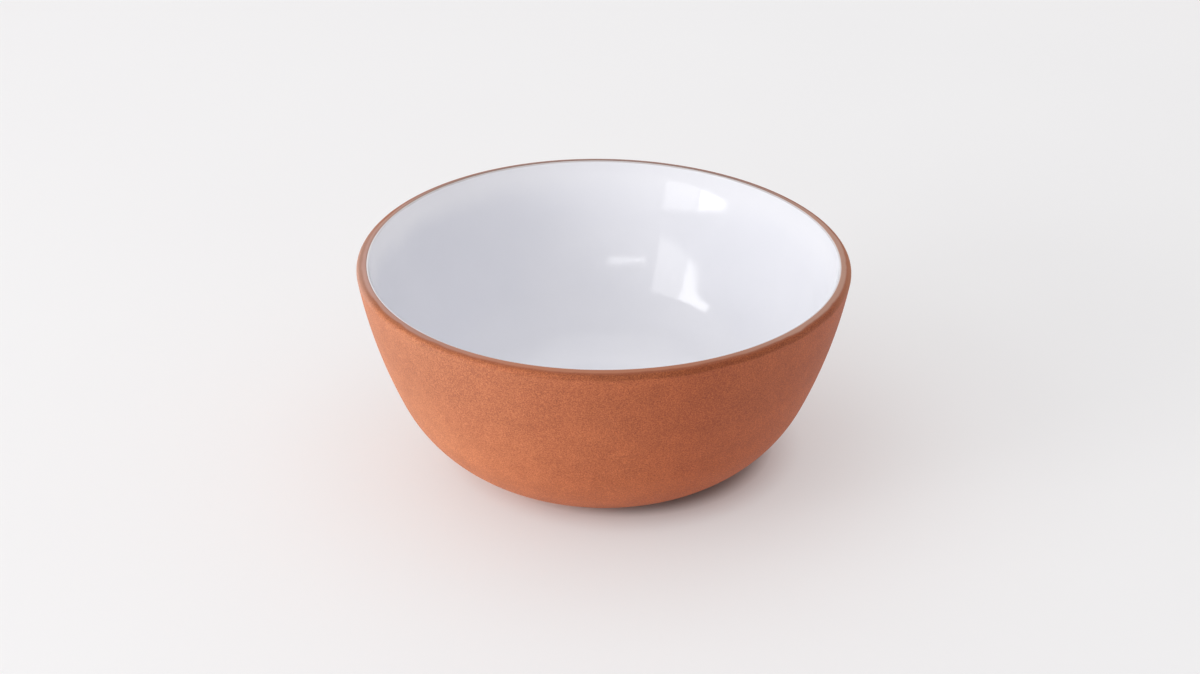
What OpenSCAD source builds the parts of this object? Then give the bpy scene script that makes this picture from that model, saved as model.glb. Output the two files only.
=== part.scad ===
// Round stoneware bowl: a bare clay body with a rounded lip and a low turned foot,
// and a thin skin of glaze fused to its inside. Millimetres, +Z up, with the origin
// on the table under the middle of the bowl. Angles are in degrees.

/* [Rim] */
// Diameter across the widest part of the lip
rim_d = 150; // [120:1:190]
// Height from the table to the top of the lip, which is at its inner edge
bowl_h = 66.5; // [52:0.5:84]
// How much lower the lip is at its outer edge
lip_fall = 0.4; // [0:0.1:0.9]
// Radius that rounds the outer edge of the lip
lip_outer_r = 1.5; // [0.8:0.1:2]
// Radius that rounds the inner edge of the lip, above the glaze
lip_inner_r = 0.3; // [0.2:0.1:0.8]

/* [Wall] */
// Thickness of the clay in the wall
wall_t = 3.4; // [2.6:0.1:5]
// Lean of the wall out from upright, just under the lip
rim_lean = 9.6; // [3:0.1:16]
// Lean of the wall out from upright, where it meets the foot
heel_lean = 70.5; // [55:0.5:78]
// How far the wall's upper arc turns before the belly takes over, as a share of
// the turn that still leaves both arcs bending the same way
join_share = 0.335; // [0.1:0.005:0.9]

/* [Inside] */
// Height of the clay floor above the table, at the middle
floor_h = 5.6; // [4:0.1:9]
// Radius of the shallow dish that the floor makes
floor_r = 400; // [200:10:900]
// Lean of the inner wall out from upright, where it turns in to the floor
turn_lean = 45; // [36:1:55]

/* [Foot] */
// Diameter of the foot ring, where the wall meets it
foot_d = 74; // [56:1:92]
// Height of the foot ring below the wall
foot_h = 1.4; // [0.8:0.1:3]
// Width of the foot ring, side to side
ring_w = 4.6; // [3:0.1:9]
// Bevel on both edges that the foot ring stands on
ring_bevel = 0.4; // [0.2:0.1:0.7]
// Depth of the hollow turned out inside the foot ring
hollow_h = 2.1; // [1:0.1:2.6]
// How far the side of that hollow leans in over its depth
hollow_draft = 1.6; // [0.5:0.1:3]

/* [Glaze] */
// Thickness of the glaze
glaze_t = 0.4; // [0.2:0.05:0.8]
// How far below the top of the lip the edge of the glaze stays
glaze_drop = 0.1; // [0.05:0.05:0.4]

/* [Hidden] */
$fn = 144;

rim_r = rim_d / 2;
foot_r = foot_d / 2;
// Length that carries every cut past the surface it opens
overrun = wall_t;

// Outward normal of a surface that leans out by an angle from upright
function out(lean) = [cos(lean), -sin(lean)];

// The lip's outer edge is an arc, and the wall starts where it ends
lip_c = [rim_r - lip_outer_r, bowl_h - lip_fall - lip_outer_r];
rim_p = lip_c + lip_outer_r * out(rim_lean);
heel_p = [foot_r, foot_h];

// From the rim to the heel the outside is two arcs with one tangent where they meet.
// Both bend inward only while that tangent's lean stays between these two
chord = heel_p - rim_p;
chord_lean = atan2(-chord[0], -chord[1]);
least_lean = max(rim_lean, 2 * chord_lean - heel_lean);
most_lean = min(heel_lean, 2 * chord_lean - rim_lean);
join_lean = least_lean + join_share * (most_lean - least_lean);
// Radii with which the two arcs together span the chord
wall_step = out(join_lean) - out(rim_lean);
belly_step = out(heel_lean) - out(join_lean);
wall_r = cross(chord, belly_step) / cross(wall_step, belly_step);
belly_r = cross(wall_step, chord) / cross(wall_step, belly_step);
wall_c = rim_p - wall_r * out(rim_lean);
belly_c = heel_p - belly_r * out(heel_lean);
join_p = wall_c + wall_r * out(join_lean);

// The inside runs parallel to these arcs, then turns in to the dished floor
floor_c = [0, floor_h + floor_r];
leave_p = belly_c + (belly_r - wall_t) * out(turn_lean);
turn_w = leave_p - floor_c;
turn_r = (turn_w * turn_w - floor_r * floor_r) / (2 * (turn_w * out(turn_lean) - floor_r));
turn_c = leave_p - turn_r * out(turn_lean);

// Point on a circle, in the direction of another point
function towards(centre, r, p) = centre + r * (p - centre) / norm(p - centre);
// The same places on a surface that lies a skin's thickness in from the clay
function join_in(skin) = towards(wall_c, wall_r - wall_t - skin, join_p);
function leave_in(skin) = towards(belly_c, belly_r - wall_t - skin, leave_p);
function land_in(skin) = towards(floor_c, floor_r - skin, turn_c);

// The lip's inner edge is an arc that meets the inner wall at the shoulder. From its top
// the lip falls to the outer edge, along the straight line that touches both arcs
edge_z = bowl_h - lip_inner_r;
edge_reach = wall_r - wall_t + lip_inner_r;
edge_c = [wall_c[0] + sqrt(pow(edge_reach, 2) - pow(edge_z - wall_c[1], 2)), edge_z];
shoulder_p = towards(wall_c, wall_r - wall_t, edge_c);
lip_span = lip_c - edge_c;
lip_lean = -acos((lip_inner_r - lip_outer_r) / norm(lip_span)) - atan2(lip_span[1], lip_span[0]);
top_in = edge_c + lip_inner_r * out(lip_lean);
top_out = lip_c + lip_outer_r * out(lip_lean);

// The glaze stops on the shoulder in a bead as deep as the glaze is thick. The bead's
// round starts where it is tangent to the glaze's surface
bead_z = bowl_h - glaze_drop - glaze_t;
bead_c = [wall_c[0] + sqrt(pow(wall_r - wall_t, 2) - pow(bead_z - wall_c[1], 2)), bead_z];
bead_start = towards(bead_c, glaze_t, wall_c);

// Area between the axis and one arc, from a low height to a high one
module inside_arc(centre, r, low, high) {
    intersection() {
        union() {
            translate(centre) circle(r);
            if (centre[0] > 0) translate([0, centre[1] - r]) square([centre[0], 2 * r]);
        }
        translate([0, low]) square([rim_d, high - low]);
    }
}

// Outline of the bowl with nothing hollowed out: foot, belly, wall and lip
module solid_outline() {
    polygon([
        [0, 0],
        [foot_r - ring_bevel, 0],
        [foot_r, ring_bevel],
        [foot_r, floor_h],
        [0, floor_h]
    ]);
    inside_arc(belly_c, belly_r, foot_h, belly_c[1]);
    inside_arc(wall_c, wall_r, join_p[1], rim_p[1]);
    inside_arc(lip_c, lip_outer_r, lip_c[1] - lip_outer_r, top_out[1]);
    polygon([[0, lip_c[1]], lip_c, top_out, top_in, [0, top_in[1]]]);
    translate(edge_c) circle(lip_inner_r);
}

// Outline of the space inside the bowl, up to a height, bounded by a surface that
// lies a skin's thickness in from the clay
module inner_outline(skin, top) {
    translate(turn_c) circle(turn_r - skin);
    inside_arc(belly_c, belly_r - wall_t - skin, leave_in(skin)[1], belly_c[1]);
    inside_arc(wall_c, wall_r - wall_t - skin, join_in(skin)[1], top);
    intersection() {
        translate(floor_c) circle(floor_r - skin);
        square([land_in(skin)[0], belly_c[1]]);
    }
}

// Outline of what is turned away from the underside, inside the foot ring
module hollow_outline() {
    mouth = foot_r - ring_w;
    polygon([
        [0, -overrun],
        [mouth + ring_bevel, -overrun],
        [mouth + ring_bevel, 0],
        [mouth, ring_bevel],
        [mouth - hollow_draft, hollow_h],
        [0, hollow_h]
    ]);
}

// Outline of all that the clay leaves open inside, from the floor out past the lip
module open_outline() {
    inner_outline(0, shoulder_p[1]);
    difference() {
        translate([0, shoulder_p[1]]) square([edge_c[0], lip_inner_r + overrun]);
        translate(edge_c) circle(lip_inner_r);
    }
}

// Turned and fired clay: foot ring, wall and lip in one piece
module clay_body() {
    color([0.72, 0.42, 0.30])
    rotate_extrude()
    difference() {
        solid_outline();
        open_outline();
        hollow_outline();
    }
}

// Glaze fused to the inside, up on to the shoulder of the lip
module glaze_lining() {
    color([0.93, 0.94, 0.96])
    rotate_extrude()
    intersection() {
        difference() {
            open_outline();
            inner_outline(glaze_t, shoulder_p[1] + overrun);
        }
        union() {
            square([rim_r, bead_start[1]]);
            translate(bead_c) circle(glaze_t);
        }
    }
}

clay_body();
glaze_lining();
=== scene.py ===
"""A stoneware bowl on a pale table: bare turned clay outside, a coat of white glaze inside."""

import math

import bpy
from mathutils import Euler, Matrix, Vector


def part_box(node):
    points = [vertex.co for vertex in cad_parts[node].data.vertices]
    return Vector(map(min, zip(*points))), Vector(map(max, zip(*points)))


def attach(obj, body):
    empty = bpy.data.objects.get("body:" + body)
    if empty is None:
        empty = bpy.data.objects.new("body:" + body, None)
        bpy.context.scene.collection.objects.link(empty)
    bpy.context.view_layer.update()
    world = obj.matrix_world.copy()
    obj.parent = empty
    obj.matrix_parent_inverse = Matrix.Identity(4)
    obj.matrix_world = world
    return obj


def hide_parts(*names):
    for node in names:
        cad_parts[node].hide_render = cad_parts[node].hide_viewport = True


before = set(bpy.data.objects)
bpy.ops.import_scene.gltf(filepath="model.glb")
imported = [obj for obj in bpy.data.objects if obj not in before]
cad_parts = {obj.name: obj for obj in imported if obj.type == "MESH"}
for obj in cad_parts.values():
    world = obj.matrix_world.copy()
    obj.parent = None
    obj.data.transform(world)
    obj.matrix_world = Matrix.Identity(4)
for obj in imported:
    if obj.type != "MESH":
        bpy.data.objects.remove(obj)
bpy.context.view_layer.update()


# Clay body. One piece of red-brown stoneware, turned on a wheel, with a rounded lip that
# was sponged smooth and a low foot ring trimmed underneath. It is fired bare, so its skin
# is matte and sandy.

clay_low, clay_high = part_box("clay_body")
rim_radius = (clay_high.x - clay_low.x) / 2
bowl_height = clay_high.z
lip_fall = 0.0004
lip_outer_round = 0.0015
lip_inner_round = 0.0003
wall_thickness = 0.0034
rim_lean = math.radians(9.6)
heel_lean = math.radians(70.5)
join_share = 0.335
floor_height = 0.0056
floor_bend = 0.4
turn_lean = math.radians(45)
foot_radius = 0.037
foot_height = 0.0014
ring_width = 0.0046
ring_bevel = 0.0004
hollow_height = 0.0021
hollow_draft = 0.0016
# The turning tool leaves shallow rings in the hollow under the foot.
turning_depth = 0.00006
turning_pitch = 0.0066
# Points once round the bowl, and across the hollow.
sides = 512
hollow_steps = 28


def leaning_out(lean):
    """Outward direction, in the plane of the profile, of a wall that leans out."""
    return Vector((math.cos(lean), -math.sin(lean)))


def cross(a, b):
    """Cross product of two directions in the plane of the profile."""
    return a.x * b.y - a.y * b.x


# The outside of the wall is two arcs that meet smoothly, as the turning rib leaves it.
lip_centre = Vector((rim_radius - lip_outer_round, bowl_height - lip_fall - lip_outer_round))
rim_point = lip_centre + lip_outer_round * leaning_out(rim_lean)
heel_point = Vector((foot_radius, foot_height))
chord = heel_point - rim_point
chord_lean = math.atan2(-chord.x, -chord.y)
least_lean = max(rim_lean, 2 * chord_lean - heel_lean)
most_lean = min(heel_lean, 2 * chord_lean - rim_lean)
join_lean = least_lean + join_share * (most_lean - least_lean)
wall_step = leaning_out(join_lean) - leaning_out(rim_lean)
belly_step = leaning_out(heel_lean) - leaning_out(join_lean)
wall_bend = cross(chord, belly_step) / cross(wall_step, belly_step)
belly_bend = cross(wall_step, chord) / cross(wall_step, belly_step)
wall_centre = rim_point - wall_bend * leaning_out(rim_lean)
belly_centre = heel_point - belly_bend * leaning_out(heel_lean)

# The inside follows it a wall's thickness in, then turns in to the dished floor.
floor_centre = Vector((0, floor_height + floor_bend))
leave_point = belly_centre + (belly_bend - wall_thickness) * leaning_out(turn_lean)
to_leave = leave_point - floor_centre
turn_bend = (to_leave.length_squared - floor_bend**2) / (
    2 * (to_leave.dot(leaning_out(turn_lean)) - floor_bend)
)
turn_centre = leave_point - turn_bend * leaning_out(turn_lean)

# The lip is two rounds, joined by the straight line that touches both. The inner round
# meets the inside of the wall at the shoulder.
edge_height = bowl_height - lip_inner_round
edge_reach = wall_bend - wall_thickness + lip_inner_round
edge_across = wall_centre.x + math.sqrt(edge_reach**2 - (edge_height - wall_centre.y) ** 2)
edge_centre = Vector((edge_across, edge_height))
shoulder_lean = math.atan2(wall_centre.y - edge_centre.y, edge_centre.x - wall_centre.x)
shoulder_point = wall_centre + (wall_bend - wall_thickness) * leaning_out(shoulder_lean)
lip_span = lip_centre - edge_centre
lip_slope = math.atan2(lip_span.y, lip_span.x)
lip_lean = -math.acos((lip_inner_round - lip_outer_round) / lip_span.length) - lip_slope


def profile_arc(centre, bend, start, stop, steps):
    """Points along an arc of the profile, between two leans of its outward side."""
    return [
        centre + bend * leaning_out(start + (stop - start) * i / steps) for i in range(steps + 1)
    ]


def inside_profile(skin, top_height, wall_steps, belly_steps, turn_steps, floor_steps):
    """The inner surface, a skin's thickness in from the clay, from the lip to the middle."""
    bend = wall_bend - wall_thickness - skin
    top_lean = math.asin((wall_centre.y - top_height) / bend)
    floor_lean = math.atan2(floor_centre.y - turn_centre.y, turn_centre.x)
    points = profile_arc(wall_centre, bend, top_lean, join_lean, wall_steps)
    bend = belly_bend - wall_thickness - skin
    points += profile_arc(belly_centre, bend, join_lean, turn_lean, belly_steps)[1:]
    bend = turn_bend - skin
    points += profile_arc(turn_centre, bend, turn_lean, floor_lean, turn_steps)[1:]
    bend = floor_bend - skin
    return points + profile_arc(floor_centre, bend, floor_lean, math.pi / 2, floor_steps)[1:]


def clay_profile():
    """From the middle of the underside, round the foot, up the wall, over the lip and down."""
    mouth = foot_radius - ring_width
    hollow_reach = mouth - hollow_draft
    points = [Vector((0, hollow_height))]
    for i in range(1, hollow_steps):
        reach = hollow_reach * i / hollow_steps
        ripple = turning_depth * math.sin(2 * math.pi * reach / turning_pitch)
        points.append(Vector((reach, hollow_height + ripple)))
    points += [
        Vector((hollow_reach, hollow_height)),
        Vector((mouth, ring_bevel)),
        Vector((mouth + ring_bevel, 0)),
        Vector((foot_radius - ring_bevel, 0)),
        Vector((foot_radius, ring_bevel)),
    ]
    points += profile_arc(belly_centre, belly_bend, heel_lean, join_lean, steps=40)
    points += profile_arc(wall_centre, wall_bend, join_lean, rim_lean, steps=44)[1:]
    points += profile_arc(lip_centre, lip_outer_round, rim_lean, lip_lean, steps=12)[1:]
    points += profile_arc(
        edge_centre, lip_inner_round, lip_lean, shoulder_lean - math.pi, steps=8
    )
    points += inside_profile(
        0, shoulder_point.y, wall_steps=9, belly_steps=5, turn_steps=6, floor_steps=2
    )[1:]
    return points


def hand_turned(angle, height):
    """How far the hand and the fire left a ring off true at one place: outward and upward."""
    up = max(0.0, height / bowl_height) ** 2
    oval = 0.00016 * math.cos(2 * (angle - 0.6))
    three_cornered = 0.00009 * math.cos(3 * (angle + 0.9))
    warp = -0.00042 * math.sin(2 * angle + 0.25)
    higher_front = 0.00015 * (1 - math.sin(angle))
    return (oval + three_cornered) * up, (warp + higher_front) * up


def turned_mesh(name, profile):
    """Turns a profile once round the bowl's axis and closes it at any point on the axis."""
    vertices, rows, heights = [], [], []
    for point in profile:
        first = len(vertices)
        on_axis = point.x < 1e-6
        if on_axis:
            rows.append([first] * sides)
            vertices.append((0, 0, point.y))
        else:
            rows.append(list(range(first, first + sides)))
            for i in range(sides):
                angle = 2 * math.pi * i / sides
                away, lift = hand_turned(angle, point.y)
                across = (point.x + away) * math.cos(angle)
                along = (point.x + away) * math.sin(angle)
                vertices.append((across, along, point.y + lift))
        heights += [point.y] * (len(vertices) - first)
    faces = []
    for upper, lower in zip(rows, rows[1:]):
        for i in range(sides):
            j = (i + 1) % sides
            corners = [upper[i], upper[j], lower[j], lower[i]]
            if upper[i] == upper[j]:
                corners = [upper[i], lower[j], lower[i]]
            elif lower[i] == lower[j]:
                corners = [upper[i], upper[j], lower[i]]
            faces.append(corners)
    mesh = bpy.data.meshes.new(name)
    mesh.from_pydata(vertices, [], faces)
    mesh.update()
    mesh.attributes.new("turned_height", "FLOAT", "POINT").data.foreach_set("value", heights)
    mesh.shade_smooth()
    piece = bpy.data.objects.new(name, mesh)
    bpy.context.scene.collection.objects.link(piece)
    return piece


clay = turned_mesh("clay_body_turned", clay_profile())
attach(clay, "root")
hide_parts("clay_body")


def feed(tree, socket, value):
    """Links an output to a socket, or sets the socket to a plain value or colour."""
    if isinstance(value, bpy.types.NodeSocket):
        tree.links.new(value, socket)
    elif socket.type == "RGBA":
        socket.default_value = (*value, 1)
    else:
        socket.default_value = value


def add_node(tree, kind, *given, **named):
    """Adds a node, feeds its inputs in order, and sets options and other inputs by name."""
    node = tree.nodes.new("ShaderNode" + kind)
    for socket, value in zip(node.inputs, given):
        feed(tree, socket, value)
    for key, value in named.items():
        if key in node.bl_rna.properties:
            setattr(node, key, value)
        else:
            feed(tree, node.inputs[key.replace("_", " ")], value)
    return node


def maths(tree, operation, first, second):
    """One step of arithmetic on two values, each a number or an output."""
    return add_node(tree, "Math", first, second, operation=operation).outputs[0]


def effect_group(name, inputs, outputs):
    """An empty shader node group with named inputs and outputs."""
    tree = bpy.data.node_groups.new(name, "ShaderNodeTree")
    for title, kind, value in inputs:
        socket = tree.interface.new_socket(title, in_out="INPUT", socket_type=kind)
        if value is not None:
            socket.default_value = value
    for title, kind in outputs:
        tree.interface.new_socket(title, in_out="OUTPUT", socket_type=kind)
    return tree, tree.nodes.new("NodeGroupInput"), tree.nodes.new("NodeGroupOutput")


# Sand and cloud: the fine sand in a fired surface, and the slow change of tone across it.
mottle, given, made = effect_group(
    "sand_and_cloud",
    [
        ("Place", "NodeSocketVector", None),
        ("Sand Size", "NodeSocketFloat", 0.001),
        ("Cloud Size", "NodeSocketFloat", 0.02),
    ],
    [("Sand", "NodeSocketFloat"), ("Cloud", "NodeSocketFloat")],
)
for title, detail, rough in (("Sand", 2.0, 0.6), ("Cloud", 3.0, 0.5)):
    per_metre = maths(mottle, "DIVIDE", 1, given.outputs[title + " Size"])
    noise = add_node(
        mottle,
        "TexNoise",
        Vector=given.outputs["Place"],
        Scale=per_metre,
        Detail=detail,
        Roughness=rough,
    )
    mottle.links.new(noise.outputs[0], made.inputs[title])

# Band above a height: 0 below it, 1 above it, with a soft step between.
band, given, made = effect_group(
    "band_above",
    [
        ("Place", "NodeSocketVector", None),
        ("Level", "NodeSocketFloat", 0.0),
        ("Height", "NodeSocketFloat", 0.06),
        ("Softness", "NodeSocketFloat", 0.001),
        ("Wander", "NodeSocketFloat", 0.0003),
    ],
    [("Mask", "NodeSocketFloat")],
)
drift = add_node(band, "TexNoise", Vector=given.outputs["Place"], Scale=90.0, Detail=2.0)
centred = maths(band, "SUBTRACT", drift.outputs[0], 0.5)
wander = maths(band, "MULTIPLY", centred, given.outputs["Wander"])
raised = maths(band, "ADD", given.outputs["Level"], wander)
low_edge = maths(band, "SUBTRACT", given.outputs["Height"], given.outputs["Softness"])
high_edge = maths(band, "ADD", given.outputs["Height"], given.outputs["Softness"])
step = add_node(band, "MapRange", raised, low_edge, high_edge, interpolation_type="SMOOTHSTEP")
band.links.new(step.outputs[0], made.inputs["Mask"])


def sand_and_cloud(tree, place, sand_size, cloud_size):
    """How sandy and how cloudy each spot of a surface is, from 0 to 1."""
    spots = add_node(
        tree, "Group", node_tree=mottle, Place=place, Sand_Size=sand_size, Cloud_Size=cloud_size
    )
    return spots.outputs["Sand"], spots.outputs["Cloud"]


def band_from(tree, place, level, height, softness, wander):
    """1 above a height and 0 below it, with a soft edge that wanders up and down."""
    mask = add_node(
        tree,
        "Group",
        node_tree=band,
        Place=place,
        Level=level,
        Height=height,
        Softness=softness,
        Wander=wander,
    )
    return mask.outputs["Mask"]


def blend_colour(tree, factor, first, second, how="MIX"):
    """Mixes two colours, each given as a colour or as an output, by a factor."""
    mix = add_node(tree, "Mix", factor, data_type="RGBA", blend_type=how)
    # Inputs 6 and 7 and output 2 are the colours. The others are for numbers and directions.
    feed(tree, mix.inputs[6], first)
    feed(tree, mix.inputs[7], second)
    return mix.outputs[2]


def tinted(tree, colour, factor, first, second):
    """Multiplies a colour by a tint that goes from a first to a second by a factor."""
    tint = blend_colour(tree, factor, first, second)
    return blend_colour(tree, 1.0, colour, tint, "MULTIPLY")


def spread(tree, value, low, high, start=0.3, stop=0.7):
    """Goes from low to high as a value, most often noise, goes from start to stop."""
    return add_node(tree, "MapRange", value, start, stop, low, high).outputs[0]


def side_to_side(tree, direction, low, high, start, stop):
    """Goes from low to high across the bowl, between two places given in rim radii."""
    return spread(tree, direction, low, high, start * rim_radius, stop * rim_radius)


def new_finish(name):
    """A material to be worked out, with its node tree, its shader and the place on the piece."""
    finish = bpy.data.materials.new(name)
    finish.use_nodes = True
    tree = finish.node_tree
    place = add_node(tree, "TexCoord").outputs["Object"]
    return finish, tree, tree.nodes["Principled BSDF"], place


clay_finish, tree, shader, place = new_finish("bare_clay_fired")
level = add_node(tree, "Attribute", attribute_name="turned_height").outputs["Fac"]
apart = add_node(tree, "SeparateXYZ", place)
rightward, backward = apart.outputs[0], apart.outputs[1]

# Red clay with clouds and streaks in its tone, and pale and dark grains of sand.
dense_red = (0.350, 0.085, 0.031)
open_red = (0.450, 0.127, 0.051)
streak_red = (0.29, 0.070, 0.026)
pale_grain = (0.52, 0.160, 0.067)
dark_grain = (0.225, 0.049, 0.017)
coarse_sand, clouds = sand_and_cloud(tree, place, sand_size=0.0007, cloud_size=0.022)
fine_sand, patches = sand_and_cloud(tree, place, sand_size=0.00035, cloud_size=0.006)
round_the_wall = add_node(tree, "Mapping", Vector=place, Scale=(0.12, 0.12, 1.0)).outputs[0]
_, streaks = sand_and_cloud(tree, round_the_wall, sand_size=0.0022, cloud_size=0.009)
tone = blend_colour(tree, spread(tree, clouds, 0, 1), dense_red, open_red)
tone = blend_colour(tree, spread(tree, streaks, 0, 0.50), tone, streak_red)
tone = blend_colour(tree, spread(tree, coarse_sand, 0, 0.72, 0.36, 0.68), tone, pale_grain)
tone = blend_colour(tree, spread(tree, fine_sand, 0.85, 0, 0.33, 0.59), tone, dark_grain)
patches = spread(tree, patches, 0, 1, 0.35, 0.65)
tone = tinted(tree, tone, patches, (0.955, 0.945, 0.93), (1.045, 1.055, 1.07))

# Painted light: the wall is paler and less red on the left, where the window's light falls
# as a sheen, and a deeper red on the shaded right. It is also paler low down, painted light
# from the table below.
window_side = side_to_side(tree, rightward, 1, 0, -0.733, 0.333)
tone = tinted(tree, tone, window_side, (0.97, 0.83, 0.58), (0.85, 1.075, 1.10))
low_down = spread(tree, level, 1, 0, 0.06 * bowl_height, 0.782 * bowl_height)
tone = tinted(tree, tone, low_down, (0.98, 0.94, 0.92), (1.22, 1.20, 1.14))

# The outer round of the lip is darker, most of all on the right: painted shade, where it
# turns away from the window. It is greyer at the far left, painted sheen where the light
# grazes it, and paler at the far right.
left_round_sheen = (0.305, 0.160, 0.116)
right_round = (0.36, 0.135, 0.068)
on_round = band_from(tree, place, level, bowl_height - 0.0019, softness=0.0004, wander=0.0012)
round_shade = side_to_side(tree, rightward, 0, 1, -0.347, 0.053)
darker = tinted(tree, tone, round_shade, (0.96, 0.93, 0.92), (0.72, 0.76, 0.82))
at_left = side_to_side(tree, rightward, 1, 0, -0.993, -0.88)
darker = blend_colour(tree, at_left, darker, left_round_sheen)
at_right = side_to_side(tree, rightward, 0, 0.9, 0.893, 0.993)
darker = blend_colour(tree, at_right, darker, right_round)
tone = blend_colour(tree, on_round, tone, darker)

# Painted shade: a thin dark line in the crease between the round and the top of the lip,
# but not at the far left.
crease_shade_brown = (0.29, 0.085, 0.040)
at_crease = band_from(tree, place, level, bowl_height - 0.00052, softness=0.0001, wander=0.0005)
crease_share = side_to_side(tree, rightward, 0, 0.5, -0.96, -0.733)
crease = maths(tree, "MULTIPLY", at_crease, crease_share)
tone = blend_colour(tree, crease, tone, crease_shade_brown)

# The sponge drew fine clay up on the top of the lip, which fired greyer, and part of that grey
# is painted sheen off the bright room. Its tone round the rim is painted light and shade:
# paler towards the right, a red brown along the front, and dark at the back.
sponged_dark = (0.32, 0.160, 0.118)
sponged_pale = (0.38, 0.210, 0.170)
right_top = (0.43, 0.232, 0.168)
front_top = (0.395, 0.152, 0.084)
back_top = (0.25, 0.145, 0.115)
sponge_marks = spread(tree, streaks, 0, 1, 0.35, 0.65)
sponged_and_sheen = blend_colour(tree, sponge_marks, sponged_dark, sponged_pale)
off_middle = side_to_side(tree, rightward, 0, 1, 0, 0.8)
sponged_and_sheen = blend_colour(tree, off_middle, sponged_and_sheen, right_top)
off_front = side_to_side(tree, backward, 0, 1, -0.947, -0.693)
sponged_and_sheen = blend_colour(tree, off_front, front_top, sponged_and_sheen)
at_back = side_to_side(tree, backward, 0, 1, 0.4, 0.8)
sponged_and_sheen = blend_colour(tree, at_back, sponged_and_sheen, back_top)
top_edge = side_to_side(
    tree, rightward, bowl_height - 0.00029, bowl_height - 0.00038, 0.6, 0.907
)
on_top = band_from(tree, place, level, top_edge, softness=0.0001, wander=0.0004)
tone = blend_colour(tree, spread(tree, on_top, 0, 0.95, 0, 1), tone, sponged_and_sheen)
feed(tree, shader.inputs["Base Color"], tone)

# The sand makes it rough. The top of the lip is smoother, and the whole lip shines less.
sanded = spread(tree, coarse_sand, 0.58, 0.74, 0, 1)
feed(tree, shader.inputs["Roughness"], spread(tree, on_top, sanded, 0.56, 0, 1))
feed(tree, shader.inputs["Specular IOR Level"], spread(tree, on_round, 0.5, 0.3, 0, 1))
grit = maths(tree, "ADD", coarse_sand, fine_sand)
sandy = add_node(tree, "Bump", Height=grit, Strength=1.0, Distance=0.00004)
feed(tree, shader.inputs["Normal"], sandy.outputs[0])
clay.data.materials.append(clay_finish)


# Glaze. A coat of white glass, fused to the inside of the clay in the firing. It was
# poured in and wiped from the lip, so it ends there in a thin rounded bead.

glaze_thickness = 0.0004
glaze_drop = 0.0001
bead_height = bowl_height - glaze_drop - glaze_thickness
bead_lean = math.asin((wall_centre.y - bead_height) / (wall_bend - wall_thickness))
bead_centre = wall_centre + (wall_bend - wall_thickness) * leaning_out(bead_lean)
# The bead's round starts inside the clay of the lip.
bead_start_lean = math.radians(-55)


def soft_step(value, start, stop):
    """Goes smoothly from 0 to 1 as a value goes from start to stop."""
    share = min(1.0, max(0.0, (value - start) / (stop - start)))
    return share * share * (3 - 2 * share)


def swelling(depth):
    """How much fuller the inside is than an even coat, at a depth below the lip."""
    under_lip = 0.00074 * soft_step(depth, 0.0005, 0.016)
    at_belly = 0.00034 * soft_step(depth, 0.020, 0.046)
    above_floor = 1 - soft_step(depth, 0.048, 0.060)
    return (under_lip + at_belly) * above_floor


def glaze_profile():
    """From the bead on the lip's shoulder down the inside to the middle of the floor."""
    bead_end_lean = bead_lean - math.pi
    points = profile_arc(bead_centre, glaze_thickness, bead_start_lean, bead_end_lean, steps=12)
    inside = inside_profile(
        glaze_thickness,
        points[-1].y,
        wall_steps=46,
        belly_steps=16,
        turn_steps=20,
        floor_steps=12,
    )
    for above, here, below in zip(inside, inside[1:], inside[2:]):
        along = (below - above).normalized()
        points.append(here + Vector((along.y, -along.x)) * swelling(bowl_height - here.y))
    return points + inside[-1:]


glaze = turned_mesh("glaze_lining_fused", glaze_profile())
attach(glaze, "root")
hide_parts("glaze_lining")

glaze_finish, tree, shader, place = new_finish("white_glaze_fused")
level = add_node(tree, "Attribute", attribute_name="turned_height").outputs["Fac"]
apart = add_node(tree, "SeparateXYZ", place)
rightward, backward = apart.outputs[0], apart.outputs[1]

# A cool white with slow clouds in it. It is brighter near the lip, most of all on the left:
# painted light, where the inside sees more of the bright room. It is a little darker and
# cooler all down the left side: painted shade.
pooled_white = (0.820, 0.822, 0.864)
even_white = (0.848, 0.847, 0.885)
upper_right_lit_white = (0.865, 0.863, 0.895)
upper_left_lit_white = (0.965, 0.955, 0.967)
ripples, clouds = sand_and_cloud(tree, place, sand_size=0.006, cloud_size=0.03)
tone = blend_colour(tree, spread(tree, clouds, 0, 1), pooled_white, even_white)
near_lip = band_from(tree, place, level, bowl_height - 0.0075, softness=0.0045, wander=0.003)
to_left = side_to_side(tree, rightward, 1, 0, -0.8, 0)
painted_rim_light = blend_colour(tree, to_left, upper_right_lit_white, upper_left_lit_white)
tone = blend_colour(tree, spread(tree, near_lip, 0, 0.9, 0, 1), tone, painted_rim_light)
off_left = side_to_side(tree, rightward, 0, 1, -0.667, 0.133)
tone = tinted(tree, tone, off_left, (0.940, 0.942, 0.962), (1, 1, 1))

# At its very edge it is darker and browner, more so on the right and at the back.
edge_brown = (0.42, 0.36, 0.35)
glaze_edge = band_from(tree, place, level, bowl_height - 0.0004, softness=0.00015, wander=0.0003)
edge_right = side_to_side(tree, rightward, 0.3, 0.6, -0.8, 0)
edge_back = side_to_side(tree, backward, 0.3, 0.7, 0, 0.667)
edge_strength = maths(tree, "MAXIMUM", edge_right, edge_back)
tone = blend_colour(tree, maths(tree, "MULTIPLY", glaze_edge, edge_strength), tone, edge_brown)
feed(tree, shader.inputs["Base Color"], tone)
feed(tree, shader.inputs["Roughness"], spread(tree, ripples, 0.05, 0.09))
waves = add_node(tree, "Bump", Height=ripples, Strength=0.5, Distance=0.00003)
feed(tree, shader.inputs["Normal"], waves.outputs[0])
glaze.data.materials.append(glaze_finish)


# Table. A wide sheet of smooth off-white board, lit so strongly that little shows of it
# but its pale colour, helped by a painted glow, and the bowl's shadow.

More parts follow.
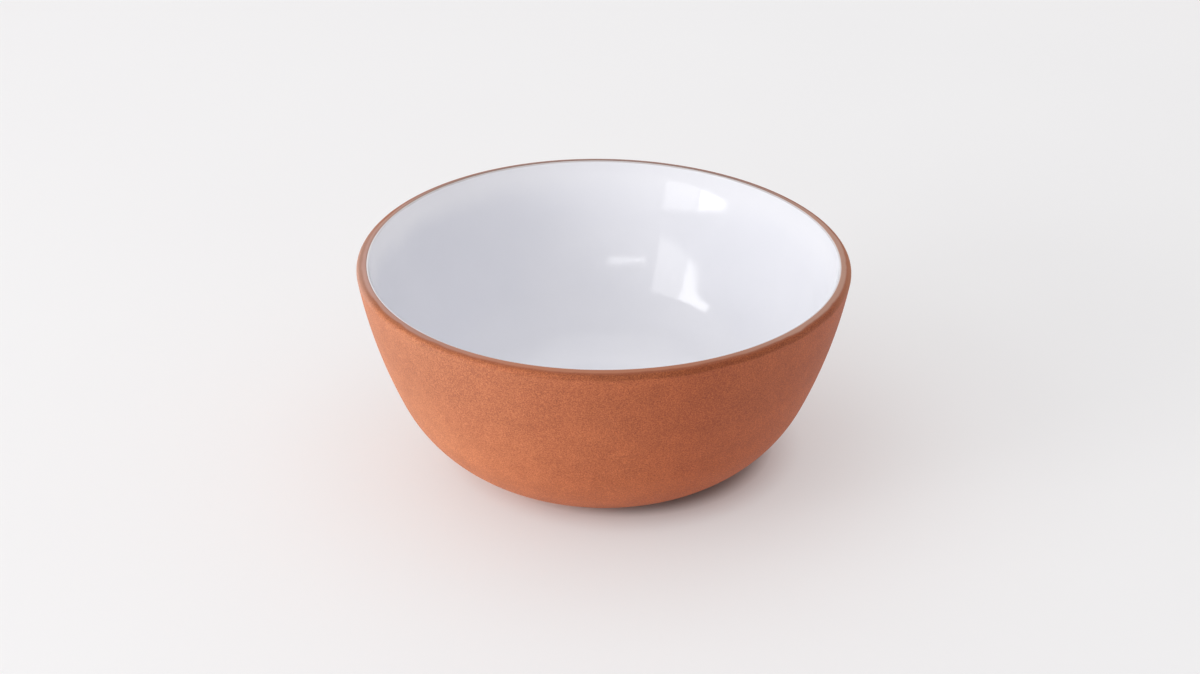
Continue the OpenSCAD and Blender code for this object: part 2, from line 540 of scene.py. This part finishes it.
table_half = 6.0
table_mesh = bpy.data.meshes.new("table_top")
table_mesh.from_pydata(
    [(x * table_half, y * table_half, 0) for x, y in ((-1, -1), (1, -1), (1, 1), (-1, 1))],
    [],
    [(0, 1, 2, 3)],
)
table_top = bpy.data.objects.new("table_top", table_mesh)
bpy.context.scene.collection.objects.link(table_top)
table_finish, tree, shader, place = new_finish("table_top_pale")
duller_white = (0.860, 0.856, 0.866)
brighter_white = (0.872, 0.870, 0.878)
_, clouds = sand_and_cloud(tree, place, sand_size=0.0012, cloud_size=0.12)
tone = blend_colour(tree, spread(tree, clouds, 0, 1), duller_white, brighter_white)

# Painted shadow: right under the wall, on the side away from the window, the table's colour
# is darkened to its darkest.
painted_contact_shadow = (0.38, 0.34, 0.33)
shade_middle = (0.006, 0.006, 0)
from_foot = add_node(tree, "VectorMath", place, shade_middle, operation="DISTANCE").outputs["Value"]
open_table = spread(tree, from_foot, 0, 1, foot_radius + 0.0035, foot_radius + 0.011)
tone = blend_colour(tree, open_table, painted_contact_shadow, tone)
feed(tree, shader.inputs["Base Color"], tone)
shader.inputs["Roughness"].default_value = 0.9


def seen_directly(tree):
    """1 for a ray from the camera, off a gloss or through glass, and 0 for scattered light."""
    rays = add_node(tree, "LightPath").outputs
    seen = rays["Is Camera Ray"]
    for kind in ("Is Glossy Ray", "Is Transmission Ray"):
        seen = maths(tree, "MAXIMUM", seen, rays[kind])
    return seen


# Part of the table's look is a fixed pale colour that glows for the camera and in
# reflections, as on an overexposed sheet: painted light, which also lightens the bowl's
# shadow. That part is none right round the foot, larger on the left, and nearly all far
# away from the bowl.
paper_glow = add_node(tree, "Emission", Color=(0.868, 0.850, 0.855), Strength=1.0)
apart = add_node(tree, "SeparateXYZ", place)
past_foot = spread(tree, from_foot, 0, 1, foot_radius + 0.006, foot_radius + 0.020)
beside_bowl = side_to_side(tree, apart.outputs[0], 0.48, 0.30, -0.8, 1.067)
near_share = maths(tree, "MULTIPLY", past_foot, beside_bowl)
far_share = spread(tree, from_foot, 0, 0.92, 4 * rim_radius, 7.333 * rim_radius)
share = maths(tree, "MAXIMUM", near_share, far_share)
share = maths(tree, "MULTIPLY", seen_directly(tree), share)
sheet = add_node(tree, "MixShader", share, shader.outputs[0], paper_glow.outputs[0])
feed(tree, tree.nodes["Material Output"].inputs["Surface"], sheet.outputs[0])
table_mesh.materials.append(table_finish)


# Light. A tall window at the front left, a bright ceiling and a pale room all round, with
# low light from both sides. The lamps are soft, and the camera doesn't see them.

room = bpy.data.worlds.new("pale_room")
bpy.context.scene.world = room
room.use_nodes = True
tree = room.node_tree
seen = tree.nodes["Background"]
feed(tree, seen.inputs["Color"], (0.92, 0.905, 0.91))
lit = add_node(tree, "Background", Color=(1, 1, 1), Strength=0.65)
swap = add_node(tree, "MixShader", seen_directly(tree), lit.outputs[0], seen.outputs[0])
feed(tree, tree.nodes["World Output"].inputs["Surface"], swap.outputs[0])


def soft_light(name, bearing, elevation, distance, size, watts):
    """An area light that faces the bowl, placed by its bearing from +Y towards +X."""
    light = bpy.data.lights.new(name, "AREA")
    light.shape = "RECTANGLE"
    light.size, light.size_y = size
    light.energy = watts
    lamp = bpy.data.objects.new(name, light)
    around, up = math.radians(bearing), math.radians(elevation)
    away = Vector((math.sin(around) * math.cos(up), math.cos(around) * math.cos(up), math.sin(up)))
    lamp.location = away * distance + Vector((0, 0, bowl_height / 2))
    lamp.rotation_euler = away.to_track_quat("Z", "Y").to_euler()
    lamp.visible_camera = False
    bpy.context.scene.collection.objects.link(lamp)
    return lamp


soft_light("window_bright_half", -121.7, 15, distance=1.6, size=(0.54, 0.60), watts=5.7)
soft_light("window_dim_half", -141.0, 15, distance=1.6, size=(0.50, 0.62), watts=2.0)
soft_light("ceiling_softbox", -90, 85, distance=2.0, size=(2.4, 2.4), watts=9.8)
soft_light("back_softbox", 0, 25, distance=2.0, size=(2.4, 0.9), watts=3.5)
soft_light("low_card", -102, 0, distance=0.9, size=(1.2, 0.06), watts=10)
soft_light("low_right_card", 84, 0, distance=0.9, size=(1.0, 0.06), watts=0.9)
soft_light("low_right_window", 80, 3.3, distance=1.8, size=(1.2, 0.15), watts=0.7)
# A slit of light between the blind and the window's frame, a little out of level.
blind = soft_light("blind_slit", -167, 18.2, distance=1.6, size=(0.62, 0.010), watts=0.30)
blind.rotation_euler.rotate_axis("Z", math.radians(4.3))
# Light from higher up in the window, which the glaze doesn't mirror.
high = soft_light("high_window", -112, 30, distance=1.8, size=(1.0, 0.9), watts=4.1)
high.visible_glossy = False


# Camera. It looks down on the bowl from the front, through a long lens a little under a
# metre away, and is rolled by half a degree.

camera_distance = 0.8614
camera_climb = math.radians(26.286)
camera_side = -0.00012
look_down = math.radians(27.860)
look_left = math.radians(0.071)
roll = math.radians(0.53)
camera = bpy.data.objects.new("camera", bpy.data.cameras.new("camera"))
camera.data.lens = 85
camera.data.sensor_width = 36
camera.location = (
    camera_side,
    -camera_distance * math.cos(camera_climb),
    bowl_height - lip_fall + camera_distance * math.sin(camera_climb),
)
aim = Euler((math.pi / 2 - look_down, 0, look_left)).to_matrix()
camera.rotation_euler = (aim @ Matrix.Rotation(roll, 3, "Z")).to_euler()
bpy.context.scene.collection.objects.link(camera)
bpy.context.scene.camera = camera
bpy.context.scene.view_settings.view_transform = "Standard"
